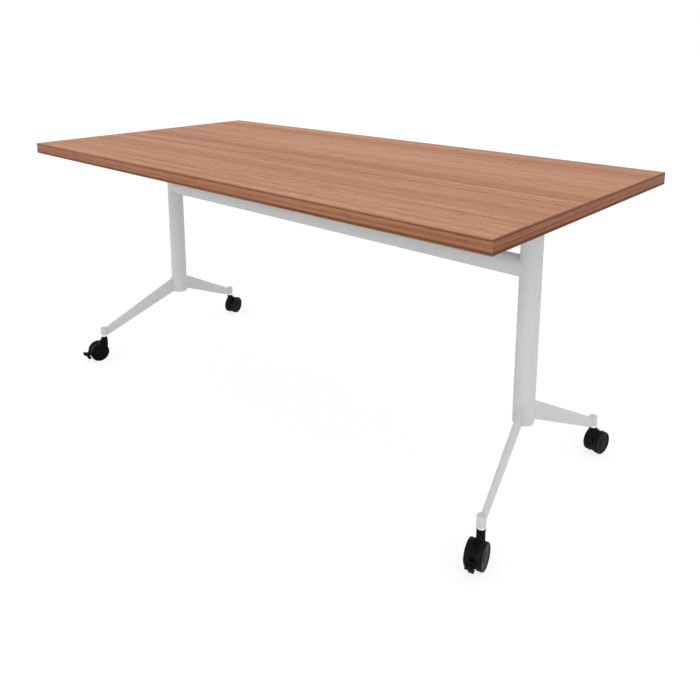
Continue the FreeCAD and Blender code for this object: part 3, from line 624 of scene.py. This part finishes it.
SLOT_MATERIALS = {
    "wood_top": top_nodes.material,
    "wood_edge": wood("wood_edge_long", **LONG_EDGE_WOOD).material,
    "white_paint": white_paint,
    "white_plastic": moulded("white_plastic", WHITE_PLASTIC_TONE, WHITE_PLASTIC_ROUGHNESS,
                             WHITE_PLASTIC_SPECULAR),
    "black_plastic": black_plastic,
    "zinc_steel": zinc_steel,
    "fibre": pressed_fibre("fibre"),
    "rubber": rubber("rubber"),
}


def dress(obj, material):
    """Gives every material slot of an object one material."""
    for place in obj.material_slots:
        place.material = material


node_slots = {row["node"]: row["material_slot"] for row in frame["record"]["subparts"]}
for node_name, node in frame["nodes"].items():
    if node_name.startswith("wheel_"):
        dress(node, wheel_blacks[node_name.split("_", 2)[2]])
    # The end edge strips take the edge wood whose tones carry painted shade.
    elif node_name in ("edge_strip_left", "edge_strip_right"):
        dress(node, shaded_end_edge_wood)
    elif node_name.startswith("caster_stem_"):
        dress(node, bright_steel)
    else:
        dress(node, SLOT_MATERIALS[node_slots[node_name]])


# Small built-up details
def mesh_piece(name, shape, material, body):
    """A smooth mesh object from a bmesh, carried by a body."""
    bmesh.ops.recalc_face_normals(shape, faces=shape.faces)
    mesh = bpy.data.meshes.new(name)
    shape.to_mesh(mesh)
    shape.free()
    for face in mesh.polygons:
        face.use_smooth = True
    mesh.materials.append(material)
    piece = bpy.data.objects.new(name, mesh)
    bpy.context.scene.collection.objects.link(piece)
    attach(piece, body)
    return piece


def upright(level):
    """A vector straight up to a level."""
    return Vector((0, 0, level))


def spaced_points(corners):
    """Points one bead step apart along straight runs between corners."""
    points = [corners[0]]
    for start, end in zip(corners, corners[1:]):
        count = max(1, round((end - start).length / BEAD_STEP))
        for index in range(1, count + 1):
            points.append(start.lerp(end, index / count))
    return points


def bridge(shape, rings):
    """Closes the walls between neighbouring rings of points."""
    for first, second in zip(rings, rings[1:]):
        for index in range(len(first)):
            after = (index + 1) % len(first)
            shape.faces.new((first[index], first[after], second[after], second[index]))


def bead(shape, corners, radius, ripple=0.0):
    """A round bead along a path, thin at its ends; a ripple makes it a weld."""
    points = spaced_points(corners)
    last = len(points) - 1
    rings = []
    side = (points[1] - points[0]).orthogonal()
    for index, point in enumerate(points):
        heading = (points[min(index + 1, last)] - points[max(index - 1, 0)]).normalized()
        side = (side - heading * side.dot(heading)).normalized()
        other = heading.cross(side)
        swell = 1.0 + ripple * math.cos(math.tau * index / RIPPLE_STEPS)
        end = min(1.0, BEAD_END + BEAD_GROWTH * min(index, last - index))
        reach = radius * swell * end
        ring = []
        for step in range(BEAD_SIDES):
            angle = math.tau * step / BEAD_SIDES
            outward = side * math.cos(angle) + other * math.sin(angle)
            ring.append(shape.verts.new(point + reach * outward))
        rings.append(ring)
    bridge(shape, rings)
    shape.faces.new(rings[0])
    shape.faces.new(rings[-1])


def arm_welds(corner):
    """Weld beads where an arm meets its column and its socket."""
    column = "column_" + corner.split("_")[1]
    socket = "caster_socket_" + corner
    root = floor_point(column)
    tip = floor_point(socket)
    run = (tip - root).length
    along = (tip - root) / run
    across = Vector((-along.y, along.x, 0))
    arm_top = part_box("arm_" + corner)[1].z
    socket_low, socket_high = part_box(socket)
    shape = bmesh.new()
    touch = math.sqrt(round_radius(column) ** 2 - ARM_HALF ** 2) + COLUMN_BEAD * BEAD_SEAT
    aside = ARM_HALF + COLUMN_BEAD * BEAD_SEAT
    foot = root + along * touch
    low = arm_top - COLUMN_BEAD_HEIGHT
    top = arm_top + COLUMN_BEAD * BEAD_SEAT - COLUMN_BEAD_DIP
    turns = ((-1, low), (-1, top), (1, top), (1, low))
    seam = [foot + across * hand * aside + upright(level) for hand, level in turns]
    bead(shape, seam, COLUMN_BEAD, RIPPLE)
    touch = run - math.sqrt(round_radius(socket) ** 2 - ARM_HALF ** 2) - SOCKET_BEAD * BEAD_SEAT
    aside = ARM_HALF + SOCKET_BEAD * BEAD_SEAT
    low = socket_low.z + SOCKET_GAP_BELOW
    top = socket_high.z - SOCKET_GAP_ABOVE
    for hand in (-1, 1):
        foot = root + along * touch + across * hand * aside
        seam = [foot + upright(level) for level in (low, top)]
        bead(shape, seam, SOCKET_BEAD, RIPPLE)
    return mesh_piece("weld_beads_" + corner, shape, white_paint, "frame")


def recess_depth(x, y):
    """Depth of the cross recess at a point of a screw's face."""
    near, far = sorted((abs(x), abs(y)))
    across = min(1.0, max(0.0, (RECESS_HALF - near) / RECESS_SOFT))
    length = min(1.0, max(0.0, (RECESS_REACH - far) / RECESS_SOFT))
    return RECESS_DEPTH * across * length


def one_screw(shape, seat, turn):
    """One head hanging from its seat, as rings from the middle of its face to the shank's end."""
    angles = [math.tau * step / SCREW_SIDES for step in range(SCREW_SIDES)]
    turned = Matrix.Rotation(turn, 3, "Z")
    middle = shape.verts.new(seat - upright(SCREW_HEAD - RECESS_DEPTH))
    rings = []
    for index in range(1, SCREW_RINGS + 1):
        radius = SCREW_RADIUS * index / SCREW_RINGS
        over = max(0.0, radius - (SCREW_RADIUS - SCREW_ROUND))
        drop = SCREW_HEAD - SCREW_ROUND + math.sqrt(max(0.0, SCREW_ROUND ** 2 - over ** 2))
        ring = []
        for angle in angles:
            x = radius * math.cos(angle)
            y = radius * math.sin(angle)
            ring.append(shape.verts.new(seat + turned @ Vector((x, y, recess_depth(x, y) - drop))))
        rings.append(ring)
    for radius, rise in ((SCREW_RADIUS, 0.0), (SHANK_RADIUS, 0.0), (SHANK_RADIUS, SHANK_RISE)):
        ring = []
        for angle in angles:
            x = radius * math.cos(turn + angle)
            y = radius * math.sin(turn + angle)
            ring.append(shape.verts.new(seat + Vector((x, y, rise))))
        rings.append(ring)
    for index in range(SCREW_SIDES):
        after = (index + 1) % SCREW_SIDES
        shape.faces.new((middle, rings[0][index], rings[0][after]))
    bridge(shape, rings)
    shape.faces.new(rings[-1])


def screw_heads():
    """Pan heads with a cross recess under the brackets, on short shanks, each turned its own way."""
    shape = bmesh.new()
    level = top_underside - BRACKET_PLATE
    for side_name, side in SIDES.items():
        column_foot = floor_point("column_" + side_name)
        for aside in (-SCREW_ASIDE, SCREW_ASIDE):
            for along in (-SCREW_ALONG, 0.0, SCREW_ALONG):
                turn = SCREW_TURN * (aside + SCREW_TURN_ALONG * along + side)
                one_screw(shape, column_foot + Vector((aside, along, level)), turn)
    heads = mesh_piece("cross_head_screws", shape, zinc_steel, "top")
    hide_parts("bracket_screws")


def arc_height(along, points):
    """Height, at a distance along, of the circle through three points, on its lower side."""
    area = 0.0
    centre_x = 0.0
    centre_z = 0.0
    for index, (x, z) in enumerate(points):
        next_x, next_z = points[index - 2]
        last_x, last_z = points[index - 1]
        square = x * x + z * z
        area += x * (next_z - last_z)
        centre_x += square * (next_z - last_z)
        centre_z += square * (last_x - next_x)
    centre_x /= 2 * area
    centre_z /= 2 * area
    first_x, first_z = points[0]
    radius = math.hypot(first_x - centre_x, first_z - centre_z)
    return centre_z - math.sqrt(radius ** 2 - (along - centre_x) ** 2)


def pedal_ribs(corner):
    """Grip ribs across the dished tip of a brake pedal."""
    turn = Matrix.Rotation(caster_turn(corner), 3, "Z")
    stem = floor_point("caster_socket_" + corner)
    shape = bmesh.new()
    for along in PEDAL_RIBS:
        level = arc_height(along, PEDAL_DISH) - RIB_SINK
        ends = [stem + turn @ Vector((along, hand * PEDAL_RIB_HALF, level)) for hand in (-1, 1)]
        bead(shape, ends, RIB_RADIUS)
    return mesh_piece("pedal_ribs_" + corner, shape, black_plastic, "pedal_" + corner)


def lever_ribs(side_name):
    """Finger ribs along the lower edge of a clamp lever."""
    body = "lever_" + side_name
    pivot = joint_place("clamp_lever_turn_" + side_name)
    slope = math.asin((LEVER_HUB_RADIUS - LEVER_TIP_RADIUS) / LEVER_TIP_REACH)
    shape = bmesh.new()
    for away in LEVER_RIBS:
        depth = LEVER_HUB_RADIUS / math.cos(slope) - away * math.tan(slope) - RIB_SINK
        ends = [pivot + Vector((hand * LEVER_RIB_HALF, -away, -depth)) for hand in (-1, 1)]
        bead(shape, ends, RIB_RADIUS)
    return mesh_piece("lever_ribs_" + side_name, shape, black_plastic, body)


for corner_name in CORNERS:
    arm_welds(corner_name)
for corner_name in BRAKED_CORNERS:
    pedal_ribs(corner_name)
for lever_side in SIDES:
    lever_ribs(lever_side)
screw_heads()


# Floor and world
def seen_ray(tree):
    """One for rays from the camera, a mirror or a glass, and nothing for the rest."""
    path = tree.nodes.new("ShaderNodeLightPath")
    value = path.outputs["Is Camera Ray"]
    for other in ("Is Glossy Ray", "Is Transmission Ray"):
        larger = tree.nodes.new("ShaderNodeMath")
        larger.operation = "MAXIMUM"
        tree.links.new(value, larger.inputs[0])
        tree.links.new(path.outputs[other], larger.inputs[1])
        value = larger.outputs["Value"]
    return value


def show_by_ray(tree, output, lit, seen):
    """Sends one shader to the rays that see, another to those that only carry light."""
    choice = tree.nodes.new("ShaderNodeMixShader")
    tree.links.new(seen_ray(tree), choice.inputs["Fac"])
    tree.links.new(lit, choice.inputs[1])
    tree.links.new(seen, choice.inputs[2])
    tree.links.new(choice.outputs["Shader"], output.inputs["Surface"])


def floor_material():
    """A white floor that keeps a soft shadow."""
    material = bpy.data.materials.new("studio_floor")
    material.use_nodes = True
    tree = material.node_tree
    tree.nodes.clear()
    output = tree.nodes.new("ShaderNodeOutputMaterial")
    bounce = tree.nodes.new("ShaderNodeBsdfDiffuse")
    bounce.inputs["Color"].default_value = FLOOR_BOUNCE
    seen = tree.nodes.new("ShaderNodeBsdfDiffuse")
    seen.inputs["Color"].default_value = FLOOR_SEEN
    glow = tree.nodes.new("ShaderNodeEmission")
    glow.inputs["Strength"].default_value = FLOOR_GLOW
    both = tree.nodes.new("ShaderNodeAddShader")
    tree.links.new(seen.outputs["BSDF"], both.inputs[0])
    tree.links.new(glow.outputs["Emission"], both.inputs[1])
    show_by_ray(tree, output, bounce.outputs["BSDF"], both.outputs["Shader"])
    return material


def make_floor():
    """A wide flat floor just under the wheels."""
    mesh = bpy.data.meshes.new("studio_floor")
    signs = [(-1, -1), (1, -1), (1, 1), (-1, 1)]
    corners = [(x * FLOOR_HALF, y * FLOOR_HALF, -FLOOR_DROP) for x, y in signs]
    mesh.from_pydata(corners, [], [range(len(corners))])
    floor = bpy.data.objects.new("studio_floor", mesh)
    bpy.context.scene.collection.objects.link(floor)
    mesh.materials.append(floor_material())


def make_world():
    """Even light from all round, seen as white."""
    world = bpy.data.worlds.new("studio")
    bpy.context.scene.world = world
    world.use_nodes = True
    tree = world.node_tree
    tree.nodes.clear()
    output = tree.nodes.new("ShaderNodeOutputWorld")
    light = tree.nodes.new("ShaderNodeBackground")
    light.inputs["Color"].default_value = WHITE
    light.inputs["Strength"].default_value = AMBIENT
    seen = tree.nodes.new("ShaderNodeBackground")
    seen.inputs["Color"].default_value = WHITE
    show_by_ray(tree, output, light.outputs["Background"], seen.outputs["Background"])


def make_sun(name, toward, strength, angle):
    """A broad soft lamp from one direction."""
    data = bpy.data.lights.new(name, "SUN")
    data.energy = strength
    data.angle = math.radians(angle)
    lamp = bpy.data.objects.new(name, data)
    lamp.rotation_euler = Vector(toward).to_track_quat("Z", "Y").to_euler()
    bpy.context.scene.collection.objects.link(lamp)


def make_camera():
    """The camera at the photograph's angle."""
    data = bpy.data.cameras.new("camera")
    data.lens = CAMERA_LENS
    data.sensor_width = CAMERA_SENSOR
    data.shift_x, data.shift_y = CAMERA_SHIFT
    camera = bpy.data.objects.new("camera", data)
    camera.location = CAMERA_PLACE
    camera.rotation_euler = (math.radians(LEVEL_VIEW - CAMERA_PITCH), 0, math.radians(CAMERA_YAW))
    bpy.context.scene.collection.objects.link(camera)
    bpy.context.scene.camera = camera


make_floor()
make_world()
for lamp_name, (lamp_toward, lamp_strength) in LAMPS.items():
    make_sun(lamp_name, lamp_toward, lamp_strength, LAMP_ANGLE)
make_camera()
bpy.context.scene.view_settings.view_transform = "Standard"
